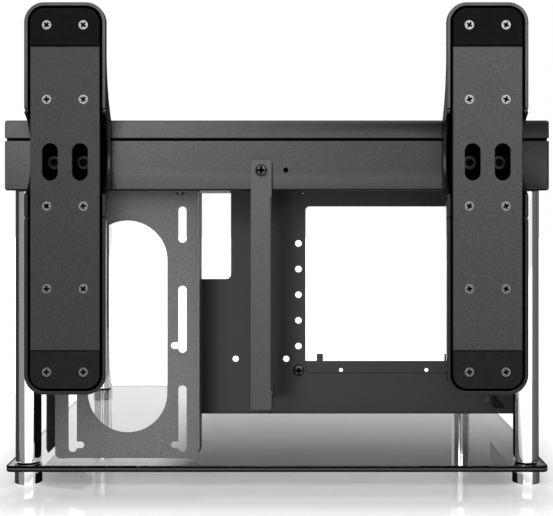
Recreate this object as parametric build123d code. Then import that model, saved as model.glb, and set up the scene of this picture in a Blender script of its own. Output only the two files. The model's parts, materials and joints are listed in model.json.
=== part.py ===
from build123d import *
import math
import os

# Open air test bench: a glass base on four feet, four pillars, a shallow
# housing on top, two legs on its near wall, and a fan bracket and a board
# tray that hang from it. Millimetres, +Z up, near side towards -Y, origin
# on the floor under the middle of the whole bench.

# Glass base
glass_width = 506.0
glass_depth = 405.0
glass_thickness = 6.0
glass_corner = 6.0
glass_bevel = 0.8

# Feet, pillars and what joins them
foot_radius = 12.7
foot_height = 12.8
pillar_radius = 12.0
pillar_height = 255.4
pillar_inset = 17.5
pillar_bevel = 0.6
washer_thickness = 0.8
washer_radius = 10.5
stud_radius = 4.0
stud_in_foot = 8.0
stud_in_pillar = 20.0
pillar_screw_radius = 3.0
pillar_screw_head = 5.7
pillar_screw_grip = 18.0

# Clearances
thread_clearance = 0.15
bolt_clearance = 0.5
seat_clearance = 0.3
thread_runout = 2.0
cut_reach = 1.0

# Housing
sheet = 1.5
fold_inside = 0.5
housing_side_inset = 0.5
housing_height = 65.0
housing_overhang = 4.0
housing_bend = 2.5
cover_skirt = 16.4
shadow_gap = 2.8
pan_flange = 14.0
cover_screw_radius = 1.5
cover_screw_head = 3.0
cover_screw_grip = 5.5
cover_screw_end_inset = 60.0
wire_hole_radius = 2.3
wire_hole_shift = 22.8
wire_hole_height = 18.8

# Legs
leg_inset = 63.5
leg_width = 73.0
leg_length = 351.0
leg_depth = 32.5
leg_rise = 103.0
leg_corner = 18.0
leg_wall = 3.4
leg_groove = 2.1
leg_rim = 6.0
leg_floor = 3.0
leg_bridge = 7.7
leg_flare_radius = 90.0
leg_seat_margin = 4.6
arch_width = 73.0
arch_depth = 23.6
rim_notch = 2.6
rim_notch_depth = 2.4
rim_notch_upper = 39.0
rim_notch_lower = 57.4
boss_radius = 5.0
pad_length = 33.7
pad_proud = 1.5
pad_edge = 1.2
plate_edge = 0.5
leg_screw_spread = 16.4
leg_screw_drops = (86.9, 182.4, 256.3)
leg_screw_radius = 2.0
leg_screw_head = 4.4
leg_screw_grip = 5.6
pad_screw_inset = 20.3
tool_slot_width = 14.3
tool_slot_length = 33.5
leg_bolt_spread = 13.4
leg_bolt_height = 25.2
leg_bolt_radius = 4.0
leg_bolt_head = 6.5
leg_bolt_head_length = 8.0
leg_bolt_socket = 3.0
leg_bolt_tail = 2.0
leg_nut_radius = 7.5
leg_nut_length = 6.5

# Fan bracket
bracket_gap = 9.0
bracket_width = 142.4
bracket_setback = 26.0
bracket_flange = 28.0
bracket_corner = 5.0
bracket_flange_lift = 11.0
bracket_hanger_depth = 14.0
opening_width = 76.1
opening_length = 202.6
opening_drop = 129.8
fan_slot_spacing = 105.0
fan_slot_width = 8.0
fan_slot_long = 64.1
fan_slot_short = 34.6
fan_slot_low_drop = 218.0
fan_slot_pitch = 95.0
fan_slot_top_drop = 32.4
fan_notch_width = 6.5
fan_notch_reach = 11.0
fan_notch_lift = 7.0
hanger_screw_spread = 102.0

# Board tray
tray_setback = 59.0
tray_side_gap = 19.5
tray_width = 310.0
tray_height = 220.5
tray_flange = 12.0
tray_notch_width = 30.5
tray_notch_rise = 133.5
tray_corner = 5.0
cutout_inset = 104.3
cutout_width = 155.0
cutout_rise = 40.3
cutout_height = 164.9
cutout_corner = 4.0
column_hole_radius = 3.2
column_hole_inset = 7.0
column_hole_count = 5
column_hole_pitch = 25.4
column_hole_rise = 67.1
pair_hole_radius = 3.0
pair_hole_insets = (35.2, 85.2)
pair_hole_rise = 54.5
tray_screw_insets = (60.0, 101.5, 267.0)
hanger_screw_radius = 2.0
hanger_screw_head = 3.8
hanger_screw_head_height = 2.4
hanger_screw_grip = 7.0
hanger_screw_setback = 7.0

# Rail behind the cut-out
rail_overlap = 14.0
rail_height = 23.0
rail_rise = 11.9
rail_flange = 12.0
rail_tab_width = 6.3
rail_tab_height = 7.0
rail_tab_inset = 11.1
rail_hole_radius = 1.9
rail_hole_inset = 35.2
rail_screw_inset = 6.9
rail_screw_drop = 2.9
pan_screw_radius = 2.5
pan_screw_head = 5.5
pan_screw_head_height = 3.0
pan_screw_grip = 6.0

# Stand-offs for the board
standoff_spread_x = 227.33
standoff_spread_z = 157.48
standoff_inset = 59.5
standoff_drop = 18.32
standoff_across = 5.0
standoff_length = 6.5
standoff_stub = 1.5
standoff_bore = 1.5

# Brace strap
strap_inset = 62.5
strap_width = 19.3
strap_rise = 28.4
strap_foot_rise = 15.9
strap_sheet = 2.0
strap_corner = 3.0
strap_side_flange = 20.0
strap_side_rise = 35.7
strap_side_top_gap = 6.0
strap_screw_drop = 9.8
strap_tab = 18.0

# Gusset and hex nut at the tray's corner
gusset_inset = 21.0
gusset_width = 12.0
gusset_height = 14.0
gusset_rise = 6.7
gusset_hole_inset = 3.2
gusset_screw_radius = 1.2
nut_inset = 27.0
nut_rise = 15.5
nut_across = 7.0
nut_length = 3.2
nut_bolt_radius = 2.0
nut_bolt_tail = 1.5

# Screw recesses and heads, as shares of the head
recess_reach = 0.5
recess_width = 0.23
recess_depth = 0.28
crown_recess_depth = 0.5
crown_round = 0.6

# Levels and faces that follow from the sizes above
fold_outside = fold_inside + sheet
housing_width = glass_width - 2 * housing_side_inset
leg_x = housing_width / 2 - leg_inset
housing_depth = glass_depth + 2 * housing_overhang
bench_depth = housing_depth + leg_depth + pad_proud
back_face = bench_depth / 2
housing_back = back_face
housing_front = housing_back - housing_depth
glass_front = housing_front + housing_overhang
glass_back = glass_front + glass_depth
glass_middle = (glass_front + glass_back) / 2
glass_bottom = foot_height + washer_thickness
glass_top = glass_bottom + glass_thickness
pillar_bottom = glass_top + washer_thickness
housing_bottom = pillar_bottom + pillar_height
housing_top = housing_bottom + housing_height
housing_middle = (housing_bottom + housing_top) / 2
pan_wall_top = housing_top - cover_skirt - shadow_gap
pillar_x = glass_width / 2 - pillar_inset
pillar_front_y = glass_front + pillar_inset
pillar_back_y = glass_back - pillar_inset
pillar_spots = {
    "front_left": (-pillar_x, pillar_front_y),
    "front_right": (pillar_x, pillar_front_y),
    "back_left": (-pillar_x, pillar_back_y),
    "back_right": (pillar_x, pillar_back_y),
}
leg_front = housing_front - leg_depth
leg_top = housing_top + leg_rise
leg_bottom = leg_top - leg_length
leg_bolt_z = housing_bottom + leg_bolt_height
plate_thickness = leg_rim - leg_floor
plate_margin = leg_wall + leg_groove
plate_width = leg_width - 2 * plate_margin
strap_front = housing_front - strap_sheet
bracket_left = -pillar_x + pillar_radius + bracket_gap
bracket_right = bracket_left + bracket_width
bracket_x = (bracket_left + bracket_right) / 2
bracket_front = glass_front + bracket_setback
tray_front = glass_front + tray_setback
tray_back = tray_front + sheet
tray_top = housing_bottom
tray_bottom = tray_top - tray_height
tray_right = housing_width / 2 - tray_side_gap
tray_left = tray_right - tray_width
tray_screw_x = [tray_left + inset for inset in tray_screw_insets]
cutout_left = tray_left + cutout_inset
cutout_right = cutout_left + cutout_width
cutout_bottom = tray_bottom + cutout_rise
cutout_top = cutout_bottom + cutout_height
strap_x = tray_left + strap_inset
strap_top = housing_bottom + strap_rise
strap_bottom = tray_bottom + strap_foot_rise
strap_screw_z = strap_top - strap_screw_drop
strap_fold = fold_inside + strap_sheet
nut_x = tray_right - nut_inset
nut_z = tray_bottom + nut_rise
rail_bottom = cutout_bottom + rail_rise - rail_height
rail_screw_z = cutout_bottom + rail_screw_drop
bracket_screw_y = bracket_front - hanger_screw_setback
tray_screw_y = tray_front - hanger_screw_setback
bracket_screw_x = (
    bracket_x - hanger_screw_spread / 2,
    bracket_x + hanger_screw_spread / 2,
)

UP = (0, 0, 1)
DOWN = (0, 0, -1)
INWARD = (0, 1, 0)
OUTWARD = (0, -1, 0)
LOW = (Align.CENTER, Align.CENTER, Align.MIN)


def block(x_range, y_range, z_range):
    """Box between two values on each axis."""
    size = [high - low for low, high in (x_range, y_range, z_range)]
    middle = [(high + low) / 2 for low, high in (x_range, y_range, z_range)]
    return Pos(*middle) * Box(*size)


def rod(start, axis, radius, length):
    """Cylinder from a start point along an axis."""
    return Plane(origin=start, z_dir=axis) * Cylinder(radius, length, align=LOW)


def cone(start, axis, first_radius, last_radius, length):
    """Cone from a start point along an axis."""
    return Plane(origin=start, z_dir=axis) * Cone(first_radius, last_radius, length, align=LOW)


def hexagon(start, axis, across, length):
    """Hexagonal prism of a given width across flats."""
    outline = RegularPolygon(across / 2, 6, major_radius=False)
    return extrude(Plane(origin=start, z_dir=axis) * outline, length)


def upright(outline, front, thickness):
    """Plate that stands in the XZ plane, from its front face inwards."""
    return extrude(Plane.XZ.offset(-front - thickness) * outline, thickness)


def side_on(outline, left, width):
    """Solid with a given outline in the YZ plane, from its left face on."""
    return extrude(Plane.YZ.offset(left) * outline, width)


def folded(corners, thickness):
    """Section of a folded sheet, from the corners of its middle line."""
    line = FilletPolyline(*corners, radius=fold_inside + thickness / 2)
    return trace(line, thickness)


def at(x, z, outline):
    """Outline moved to a place on an upright plate."""
    return Pos(x, z) * outline


def cross_recess(start, axis, reach, depth):
    """Two crossed grooves for a screwdriver."""
    width = reach * recess_width / recess_reach
    groove = Box(2 * reach, width, depth, align=LOW)
    other = Box(width, 2 * reach, depth, align=LOW)
    return Plane(origin=start, z_dir=axis) * (groove + other)


def countersunk_screw(start, axis, radius, head, grip):
    """Flat-head screw with its head flush at the start point."""
    top = cone(start, axis, head, radius, head - radius)
    shank = rod(start, axis, radius, grip)
    return top + shank - cross_recess(start, axis, head * recess_reach, head * recess_depth)


def countersink(start, axis, radius, head, reach):
    """Hole for a flat-head screw, with its clearance."""
    top = cone(start, axis, head + bolt_clearance / 2, radius + bolt_clearance / 2, head - radius)
    return top + rod(start, axis, radius + bolt_clearance / 2, reach)


def pan_head_screw(seat, axis, radius, head, head_height, grip):
    """Domed screw: the head stands off the seat, the shank goes along the axis."""
    back = tuple(-part for part in axis)
    dome = rod(seat, back, head, head_height)
    dome = fillet(dome.edges().sort_by(Axis(seat, back))[-1:], head_height * crown_round)
    crown = tuple(place + part * head_height for place, part in zip(seat, back))
    screw = dome + rod(seat, axis, radius, grip)
    return screw - cross_recess(crown, axis, head * recess_reach, head_height * crown_recess_depth)


def base_glass():
    """Flat glass plate with rounded corners, a ground edge and four stud holes."""
    outline = RectangleRounded(glass_width, glass_depth, glass_corner)
    plate = extrude(Plane(origin=(0, glass_middle, glass_bottom)) * outline, glass_thickness)
    rims = plate.edges().filter_by(Plane.XY)
    plate = chamfer(rims, glass_bevel)
    for x, y in pillar_spots.values():
        plate -= rod((x, y, glass_bottom), UP, stud_radius + bolt_clearance, glass_thickness)
    return plate


def pillar(x, y):
    """Solid round pillar, tapped at both ends."""
    body = rod((x, y, pillar_bottom), UP, pillar_radius, pillar_height)
    body = chamfer(body.edges().filter_by(GeomType.CIRCLE), pillar_bevel)
    stud_hole = stud_radius + thread_clearance
    screw_hole = pillar_screw_radius + thread_clearance
    body -= rod((x, y, pillar_bottom), UP, stud_hole, stud_in_pillar + thread_runout)
    return body - rod((x, y, housing_bottom), DOWN, screw_hole, pillar_screw_grip + thread_runout)


def foot(x, y):
    """Round foot, tapped from above for the stud."""
    body = rod((x, y, 0), UP, foot_radius, foot_height)
    body = chamfer(body.edges().filter_by(GeomType.CIRCLE), pillar_bevel)
    return body - rod((x, y, foot_height), DOWN, stud_radius + thread_clearance, stud_in_foot + thread_runout)


def glass_washers():
    """Rubber rings under and over the glass at each pillar."""
    rings = []
    for x, y in pillar_spots.values():
        for level in (foot_height, glass_top):
            ring = rod((x, y, level), UP, washer_radius, washer_thickness)
            ring -= rod((x, y, level), UP, stud_radius + bolt_clearance, washer_thickness)
            rings.append(ring)
    return rings


def foot_studs():
    """Threaded rods that join foot, glass and pillar."""
    low = foot_height - stud_in_foot
    length = pillar_bottom + stud_in_pillar - low
    return [rod((x, y, low), UP, stud_radius, length) for x, y in pillar_spots.values()]


def pillar_screws():
    """Screws from inside the housing into the pillars' upper ends."""
    seat = housing_bottom + sheet
    size = (pillar_screw_radius, pillar_screw_head, pillar_screw_radius, pillar_screw_grip + sheet)
    return [pan_head_screw((x, y, seat), DOWN, *size) for x, y in pillar_spots.values()]


def hollow_box(inset, low, high):
    """Block as wide and deep as the housing, less an inset on each side."""
    half = housing_width / 2 - inset
    return block((-half, half), (housing_front + inset, housing_back - inset), (low, high))


def housing_pan():
    """Folded pan: floor, walls with a joggle under the cover, and a turned-in flange."""
    joggle = sheet + seat_clearance
    under_cover = housing_top - sheet
    lower = hollow_box(0, housing_bottom, pan_wall_top)
    rounded = lower.edges().group_by(Axis.Z)[0] + lower.edges().filter_by(Axis.Z)
    lower = fillet(rounded, housing_bend)
    pan = lower + hollow_box(joggle, pan_wall_top - sheet, under_cover)
    pan -= hollow_box(sheet, housing_bottom + sheet, pan_wall_top - sheet)
    pan -= hollow_box(joggle + sheet, housing_bottom + sheet, under_cover - sheet)
    pan -= hollow_box(joggle + pan_flange, under_cover - sheet, under_cover)
    for x, y in pillar_spots.values():
        pan -= rod((x, y, housing_bottom), UP, pillar_screw_radius + bolt_clearance, sheet)
    for x in leg_bolt_places():
        pan -= rod((x, housing_front, leg_bolt_z), INWARD, leg_bolt_radius + bolt_clearance, sheet)
    for x, y in hanger_places():
        pan -= rod((x, y, housing_bottom), UP, hanger_screw_radius + thread_clearance, sheet)
    for x, y in cover_screw_places():
        pan -= rod((x, y, under_cover - sheet), UP, cover_screw_radius + thread_clearance, sheet)
    pan -= rod((strap_x, housing_front, strap_screw_z), INWARD, pan_screw_radius + thread_clearance, sheet)
    wire_hole = (strap_x + wire_hole_shift, housing_front, housing_bottom + wire_hole_height)
    pan -= rod(wire_hole, INWARD, wire_hole_radius, sheet)
    return pan


def housing_cover():
    """Folded lid whose skirt ends above the pan's wall and leaves a shadow gap."""
    skirt_bottom = housing_top - cover_skirt
    lid = hollow_box(0, skirt_bottom, housing_top)
    rounded = lid.edges().group_by(Axis.Z)[-1] + lid.edges().filter_by(Axis.Z)
    lid = fillet(rounded, housing_bend)
    lid -= hollow_box(sheet, skirt_bottom, housing_top - sheet)
    for x, y in cover_screw_places():
        lid -= countersink((x, y, housing_top), DOWN, cover_screw_radius, cover_screw_head, sheet)
    return lid


def cover_screw_places():
    """Centres of the cover screws, over the pan's turned-in flange."""
    inset = sheet + seat_clearance + pan_flange / 2
    end = housing_width / 2 - cover_screw_end_inset
    rows = (housing_front + inset, housing_back - inset)
    return [(x, y) for y in rows for x in (-end, 0, end)]


def cover_screws():
    """Flat-head screws that hold the cover on the pan's flange."""
    return [
        countersunk_screw((x, y, housing_top), DOWN, cover_screw_radius, cover_screw_head, cover_screw_grip)
        for x, y in cover_screw_places()
    ]


def leg_bolt_places():
    """Centres of the four bolts through the housing's near wall."""
    return [side * leg_x + shift for side in (-1, 1) for shift in (-leg_bolt_spread, leg_bolt_spread)]


def leg_screw_levels():
    """Heights of the face plate's screw rows, counted down from the leg's top."""
    return [leg_top - drop for drop in leg_screw_drops]


def pad_levels():
    """Heights of the pads' screw rows."""
    return [leg_bottom + pad_screw_inset, leg_top - pad_screw_inset]


def leg_outline(margin):
    """Front view of a leg, less a margin all round."""
    width = leg_width - 2 * margin
    return RectangleRounded(width, leg_length - 2 * margin, leg_corner - margin)


def leg_profile(front, skin, seat, ends):
    """Side view of a leg: a thin rim that flares back to its seat on the housing.

    front is the face, skin the distance in from the outer back, seat the
    distance in from the housing, and ends how far the view runs past the leg.
    """
    lower_radius = leg_depth - leg_rim
    upper_radius = leg_flare_radius
    thin = leg_front + leg_rim - skin
    deep = housing_front - seat
    lower_centre = housing_bottom + housing_bend - lower_radius
    upper_rise = math.sqrt(upper_radius**2 - (upper_radius - lower_radius) ** 2)
    upper_centre = housing_top - leg_seat_margin + upper_rise
    lower_arc = lower_radius + skin
    upper_arc = upper_radius + skin
    lower_end = lower_centre + math.sqrt(lower_arc**2 - seat**2)
    upper_reach = upper_arc - (deep - thin)
    upper_end = upper_centre - math.sqrt(upper_arc**2 - upper_reach**2)
    lower_turn = math.atan2(lower_end - lower_centre, seat) / 2
    upper_turn = math.atan2(upper_centre - upper_end, upper_reach) / 2
    lower_mid = (
        housing_front - lower_arc * math.cos(lower_turn),
        lower_centre + lower_arc * math.sin(lower_turn),
    )
    upper_mid = (
        thin + upper_arc - upper_arc * math.cos(upper_turn),
        upper_centre - upper_arc * math.sin(upper_turn),
    )
    bottom = leg_bottom - ends
    top = leg_top + ends
    edges = [
        Polyline((front, top), (front, bottom), (thin, bottom), (thin, lower_centre)),
        ThreePointArc((thin, lower_centre), lower_mid, (deep, lower_end)),
        Line((deep, lower_end), (deep, upper_end)),
        ThreePointArc((deep, upper_end), upper_mid, (thin, upper_centre)),
        Polyline((thin, upper_centre), (thin, top), (front, top)),
    ]
    return make_face(edges)


def leg_body(x):
    """Cast leg: rim, floor, screw bosses, arched cheeks and a seat on the housing."""
    left = x - leg_width / 2
    view = at(x, (leg_top + leg_bottom) / 2, leg_outline(0))
    body = side_on(leg_profile(leg_front, 0, 0, 0), left, leg_width)
    body &= upright(view, leg_front, leg_depth)
    past = leg_front - cut_reach
    pocket = side_on(leg_profile(past, leg_floor, leg_bridge, cut_reach), left, leg_width)
    inner = at(x, (leg_top + leg_bottom) / 2, leg_outline(leg_wall))
    pocket &= upright(inner, past, leg_depth + cut_reach)
    body -= pocket
    for z in leg_screw_levels():
        for shift in (-leg_screw_spread, leg_screw_spread):
            seat = leg_front + plate_thickness
            boss = rod((x + shift, seat, z), INWARD, boss_radius, leg_depth)
            outer = side_on(leg_profile(leg_front, 0, 0, 0), left, leg_width)
            body += boss & outer
    arch_radius = ((arch_width / 2) ** 2 + arch_depth**2) / (2 * arch_depth)
    arch_centre = leg_front + arch_depth - arch_radius
    arch = Plane(origin=(left, arch_centre, housing_middle), z_dir=(1, 0, 0))
    body -= arch * Cylinder(arch_radius, leg_width, align=LOW)
    for z in (housing_middle + rim_notch_upper, housing_middle - rim_notch_lower):
        low = z - rim_notch / 2
        deep = (leg_front, leg_front + rim_notch_depth)
        body -= block((left, left + leg_width), deep, (low, low + rim_notch))
    for z in leg_screw_levels() + pad_levels():
        for shift in (-leg_screw_spread, leg_screw_spread):
            start = (x + shift, leg_front + plate_thickness, z)
            body -= rod(start, INWARD, leg_screw_radius + thread_clearance, leg_floor)
    for shift in (-leg_bolt_spread, leg_bolt_spread):
        start = (x + shift, housing_front - leg_bridge, leg_bolt_z)
        body -= rod(start, INWARD, leg_bolt_radius + bolt_clearance, leg_bridge)
    return body


def leg_plate(x):
    """Face plate between the pads, with two tool slots and six countersunk holes."""
    low = leg_bottom + plate_margin + pad_length + seat_clearance
    high = leg_top - plate_margin - pad_length - seat_clearance
    outline = at(x, (low + high) / 2, Rectangle(plate_width, high - low))
    for shift in (-leg_bolt_spread, leg_bolt_spread):
        slot = SlotOverall(tool_slot_length, tool_slot_width, rotation=90)
        outline -= at(x + shift, leg_bolt_z, slot)
    plate = upright(outline, leg_front, plate_thickness)
    plate = chamfer(plate.faces().sort_by(Axis.Y)[0].outer_wire().edges(), plate_edge)
    for z in leg_screw_levels():
        for shift in (-leg_screw_spread, leg_screw_spread):
            start = (x + shift, leg_front, z)
            plate -= countersink(start, INWARD, leg_screw_radius, leg_screw_head, plate_thickness)
    return plate


def leg_pad(x, upper):
    """Rubber pad that fills a rounded end of the leg and stands proud of the plate."""
    front = leg_front - pad_proud
    end = leg_top - plate_margin if upper else leg_bottom + plate_margin
    inner = end - pad_length if upper else end + pad_length
    view = at(x, (leg_top + leg_bottom) / 2, leg_outline(plate_margin))
    pad = upright(view, front, plate_thickness + pad_proud)
    keep = (inner, end) if upper else (end, inner)
    pad &= block((x - leg_width, x + leg_width), (front, housing_front), keep)
    pad = fillet(pad.faces().sort_by(Axis.Y)[0].edges(), pad_edge)
    level = pad_levels()[1] if upper else pad_levels()[0]
    for shift in (-leg_screw_spread, leg_screw_spread):
        start = (x + shift, front, level)
        pad -= rod(start, INWARD, leg_screw_head + bolt_clearance, pad_proud)
        seat = (x + shift, leg_front, level)
        pad -= countersink(seat, INWARD, leg_screw_radius, leg_screw_head, plate_thickness)
    return pad


def leg_screws(levels):
    """Flat-head screws at the given rows of both legs."""
    screws = []
    for side in (-1, 1):
        for z in levels:
            for shift in (-leg_screw_spread, leg_screw_spread):
                start = (side * leg_x + shift, leg_front, z)
                screws.append(
                    countersunk_screw(start, INWARD, leg_screw_radius, leg_screw_head, leg_screw_grip)
                )
    return screws


def leg_bolts():
    """Socket-head bolts through the legs' bridges and the housing's wall."""
    seat = housing_front - leg_bridge
    grip = leg_bridge + sheet + leg_nut_length + leg_bolt_tail
    bolts = []
    for x in leg_bolt_places():
        head = rod((x, seat, leg_bolt_z), OUTWARD, leg_bolt_head, leg_bolt_head_length)
        crown = (x, seat - leg_bolt_head_length, leg_bolt_z)
        socket = hexagon(crown, INWARD, 2 * leg_bolt_socket, leg_bolt_head_length / 2)
        bolts.append(head - socket + rod((x, seat, leg_bolt_z), INWARD, leg_bolt_radius, grip))
    return bolts


def leg_nuts():
    """Hexagon nuts on the leg bolts, inside the housing."""
    nuts = []
    for x in leg_bolt_places():
        start = (x, housing_front + sheet, leg_bolt_z)
        nut = hexagon(start, INWARD, 2 * leg_nut_radius * math.cos(math.pi / 6), leg_nut_length)
        nuts.append(nut - rod(start, INWARD, leg_bolt_radius + thread_clearance, leg_nut_length))
    return nuts


def fan_slot(x, z, length, notch_side):
    """Upright slot with a small side notch near its lower end."""
    slot = at(x, z, SlotOverall(length, fan_slot_width, rotation=90))
    if notch_side:
        level = z - length / 2 + fan_notch_lift
        reach = fan_notch_reach - fan_notch_width / 2
        notch = at(x + notch_side * reach / 2, level, Rectangle(reach, fan_notch_width))
        tip = at(x + notch_side * reach, level, Circle(fan_notch_width / 2))
        slot += notch + tip
    return slot


def fan_bracket():
    """Folded channel: plate with openings, side flanges and a hanger flange."""
    low = glass_top + seat_clearance
    flange_low = low + bracket_flange_lift
    flange_high = housing_bottom - fold_outside
    plate_y = bracket_front + sheet / 2
    flange_y = bracket_front - bracket_flange + sheet
    left = bracket_left + sheet / 2
    right = bracket_right - sheet / 2
    channel = folded([(left, flange_y), (left, plate_y), (right, plate_y), (right, flange_y)], sheet)
    bracket = extrude(Pos(0, 0, flange_low) * channel, flange_high - flange_low)
    lower_ends = bracket.edges().filter_by(Axis.X).group_by(Axis.Z)[0].group_by(Axis.Y)[0]
    bracket = chamfer(lower_ends, bracket_corner)
    flat = (bracket_left + fold_outside, bracket_right - fold_outside)
    foot_plate = block(flat, (bracket_front, bracket_front + sheet), (low, flange_low))
    bottom_corners = foot_plate.edges().filter_by(Axis.Y).group_by(Axis.Z)[0]
    bracket += fillet(bottom_corners, bracket_corner)
    hanger_z = housing_bottom - sheet / 2
    hanger_end = bracket_front - bracket_hanger_depth
    overlap_z = flange_high - bracket_corner
    hanger = folded([(hanger_end, hanger_z), (plate_y, hanger_z), (plate_y, overlap_z)], sheet)
    bracket += side_on(hanger, flat[0], flat[1] - flat[0])
    opening_z = housing_bottom - opening_drop
    cuts = at(bracket_x, opening_z, SlotOverall(opening_length, opening_width, rotation=90))
    low_slot_z = housing_bottom - fan_slot_low_drop
    for side in (-1, 1):
        x = bracket_x + side * fan_slot_spacing / 2
        cuts += fan_slot(x, low_slot_z, fan_slot_long, -side)
        cuts += fan_slot(x, low_slot_z + fan_slot_pitch, fan_slot_long, -side)
        cuts += fan_slot(x, housing_bottom - fan_slot_top_drop, fan_slot_short, 0)
    bracket -= upright(cuts, bracket_front - cut_reach, sheet + 2 * cut_reach)
    for x in bracket_screw_x:
        start = (x, bracket_screw_y, housing_bottom - sheet)
        bracket -= rod(start, UP, hanger_screw_radius + bolt_clearance, sheet)
    return bracket


def hanger_places():
    """Centres of the screws that hang the bracket and the tray from the housing."""
    bracket_holes = [(x, bracket_screw_y) for x in bracket_screw_x]
    return bracket_holes + [(x, tray_screw_y) for x in tray_screw_x]


def hanger_screws():
    """Pan-head screws up into the housing's floor."""
    seat = housing_bottom - sheet
    size = (hanger_screw_radius, hanger_screw_head, hanger_screw_head_height, hanger_screw_grip)
    return [pan_head_screw((x, y, seat), UP, *size) for x, y in hanger_places()]


def rail_screw_x():
    """Centres of the rail's screws, beside the cut-out."""
    return (cutout_left - rail_screw_inset, cutout_right + rail_screw_inset)


def standoff_places():
    """Centres of the stand-offs on the tray."""
    xs = (tray_left + standoff_inset, tray_left + standoff_inset + standoff_spread_x)
    low = tray_bottom + tray_height - standoff_drop - standoff_spread_z
    return [(x, z) for x in xs for z in (low, low + standoff_spread_z)]


def tray_openings():
    """Front view of the tray's notch, cut-out and holes."""
    notch_top = tray_top + tray_corner
    notch_low = tray_bottom + tray_notch_rise
    notch = RectangleRounded(2 * tray_notch_width, notch_top - notch_low, tray_corner)
    openings = at(tray_left, (notch_low + notch_top) / 2, notch)
    cut = RectangleRounded(cutout_width, cutout_height, cutout_corner)
    openings += at((cutout_left + cutout_right) / 2, (cutout_bottom + cutout_top) / 2, cut)
    for step in range(column_hole_count):
        level = tray_bottom + column_hole_rise + step * column_hole_pitch
        openings += at(cutout_left - column_hole_inset, level, Circle(column_hole_radius))
    for inset in pair_hole_insets:
        openings += at(tray_left + inset, tray_bottom + pair_hole_rise, Circle(pair_hole_radius))
    for x in rail_screw_x():
        openings += at(x, rail_screw_z, Circle(pan_screw_radius + bolt_clearance))
    for x, z in standoff_places():
        openings += at(x, z, Circle(standoff_bore + standoff_stub + thread_clearance))
    return openings


def board_tray():
    """Sheet tray with a hanger flange folded forwards and a stiffening flange behind."""
    middle = tray_front + sheet / 2
    top = tray_top - sheet / 2
    bottom = tray_bottom + sheet / 2
    near = tray_front - tray_flange
    section = folded([(near, top), (middle, top), (middle, bottom), (tray_back + tray_flange, bottom)], sheet)
    tray = side_on(section, tray_left, tray_right - tray_left)
    tray -= upright(tray_openings(), near - cut_reach, tray_back - near + 2 * cut_reach)
    for x in tray_screw_x:
        start = (x, tray_screw_y, tray_top - sheet)
        tray -= rod(start, UP, hanger_screw_radius + bolt_clearance, sheet)
    tab_z = strap_bottom + strap_tab / 2
    tray -= rod((strap_x, tray_front, tab_z), INWARD, pan_screw_radius + thread_clearance, sheet)
    tray -= rod((nut_x, tray_front, nut_z), INWARD, nut_bolt_radius + thread_clearance, sheet)
    return tray


def support_rail():
    """Folded rail behind the cut-out's lower edge, with two upright tabs."""
    low = rail_bottom
    high = rail_bottom + rail_height
    ends = (cutout_left - rail_overlap, cutout_right + rail_overlap)
    middle = tray_back + sheet / 2
    bottom = low + sheet / 2
    section = folded([(middle, high), (middle, bottom), (tray_back + rail_flange, bottom)], sheet)
    rail = side_on(section, ends[0], ends[1] - ends[0])
    for inner, side in ((cutout_left, 1), (cutout_right, -1)):
        near = inner + side * rail_tab_inset
        far = near + side * rail_tab_width
        tab = (min(near, far), max(near, far))
        rail += block(tab, (tray_back, tray_back + sheet), (high, high + rail_tab_height))
        hole = (inner + side * rail_hole_inset, tray_back, cutout_bottom + rail_screw_drop)
        rail -= rod(hole, INWARD, rail_hole_radius, sheet)
    for x in rail_screw_x():
        rail -= rod((x, tray_back, rail_screw_z), INWARD, pan_screw_radius + thread_clearance, sheet)
    return rail


def pan_screws(spots):
    """Pan-head screws with their heads on the near side."""
    return [
        pan_head_screw(spot, INWARD, pan_screw_radius, pan_screw_head, pan_screw_head_height, pan_screw_grip)
        for spot in spots
    ]


def board_standoffs():
    """Hexagonal stand-offs pressed into the tray from its far side."""
    pieces = []
    for x, z in standoff_places():
        body = hexagon((x, tray_back, z), INWARD, standoff_across, standoff_length)
        stub = rod((x, tray_back, z), OUTWARD, standoff_bore + standoff_stub, sheet)
        bore = rod((x, tray_back + standoff_length, z), OUTWARD, standoff_bore, standoff_length)
        pieces.append(body + stub - bore)
    return pieces


def brace_strap():
    """Strap folded back and up against the tray, with a stiffening flange on one side."""
    left = strap_x - strap_width / 2
    right = strap_x + strap_width / 2
    face = (strap_front + housing_front) / 2
    bottom = strap_bottom + strap_sheet / 2
    tab = tray_front - strap_sheet / 2
    tab_top = strap_bottom + strap_tab
    section = folded([(face, strap_top), (face, bottom), (tab, bottom), (tab, tab_top)], strap_sheet)
    strap = side_on(section, left, strap_width)
    upper_corners = strap.edges().filter_by(Axis.Y).group_by(Axis.Z)[-1]
    strap = fillet(upper_corners, strap_corner)
    side_z = (tray_bottom + strap_side_rise, housing_bottom - strap_side_top_gap)
    flange_x = right - strap_sheet / 2
    inner_x = right - strap_fold
    strap -= block((inner_x, right), (strap_front, housing_front), side_z)
    flange_end = strap_front + strap_side_flange
    flange = folded([(inner_x - strap_corner, face), (flange_x, face), (flange_x, flange_end)], strap_sheet)
    strap += extrude(Pos(0, 0, side_z[0]) * flange, side_z[1] - side_z[0])
    hole = pan_screw_radius + bolt_clearance
    strap -= rod((strap_x, strap_front, strap_screw_z), INWARD, hole, strap_sheet)
    tab_z = strap_bottom + strap_tab / 2
    strap -= rod((strap_x, tray_front - strap_sheet, tab_z), INWARD, hole, strap_sheet)
    return strap


def corner_gusset():
    """Small triangular gusset on the tray's near face."""
    corners = [(0, 0), (gusset_width, 0), (0, gusset_height)]
    outline = make_face(Polyline(*corners, close=True))
    outline -= at(gusset_hole_inset, gusset_hole_inset, Circle(gusset_screw_radius))
    placed = at(tray_right - gusset_inset, tray_bottom + gusset_rise, outline)
    return upright(placed, tray_front - sheet, sheet)


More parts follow.
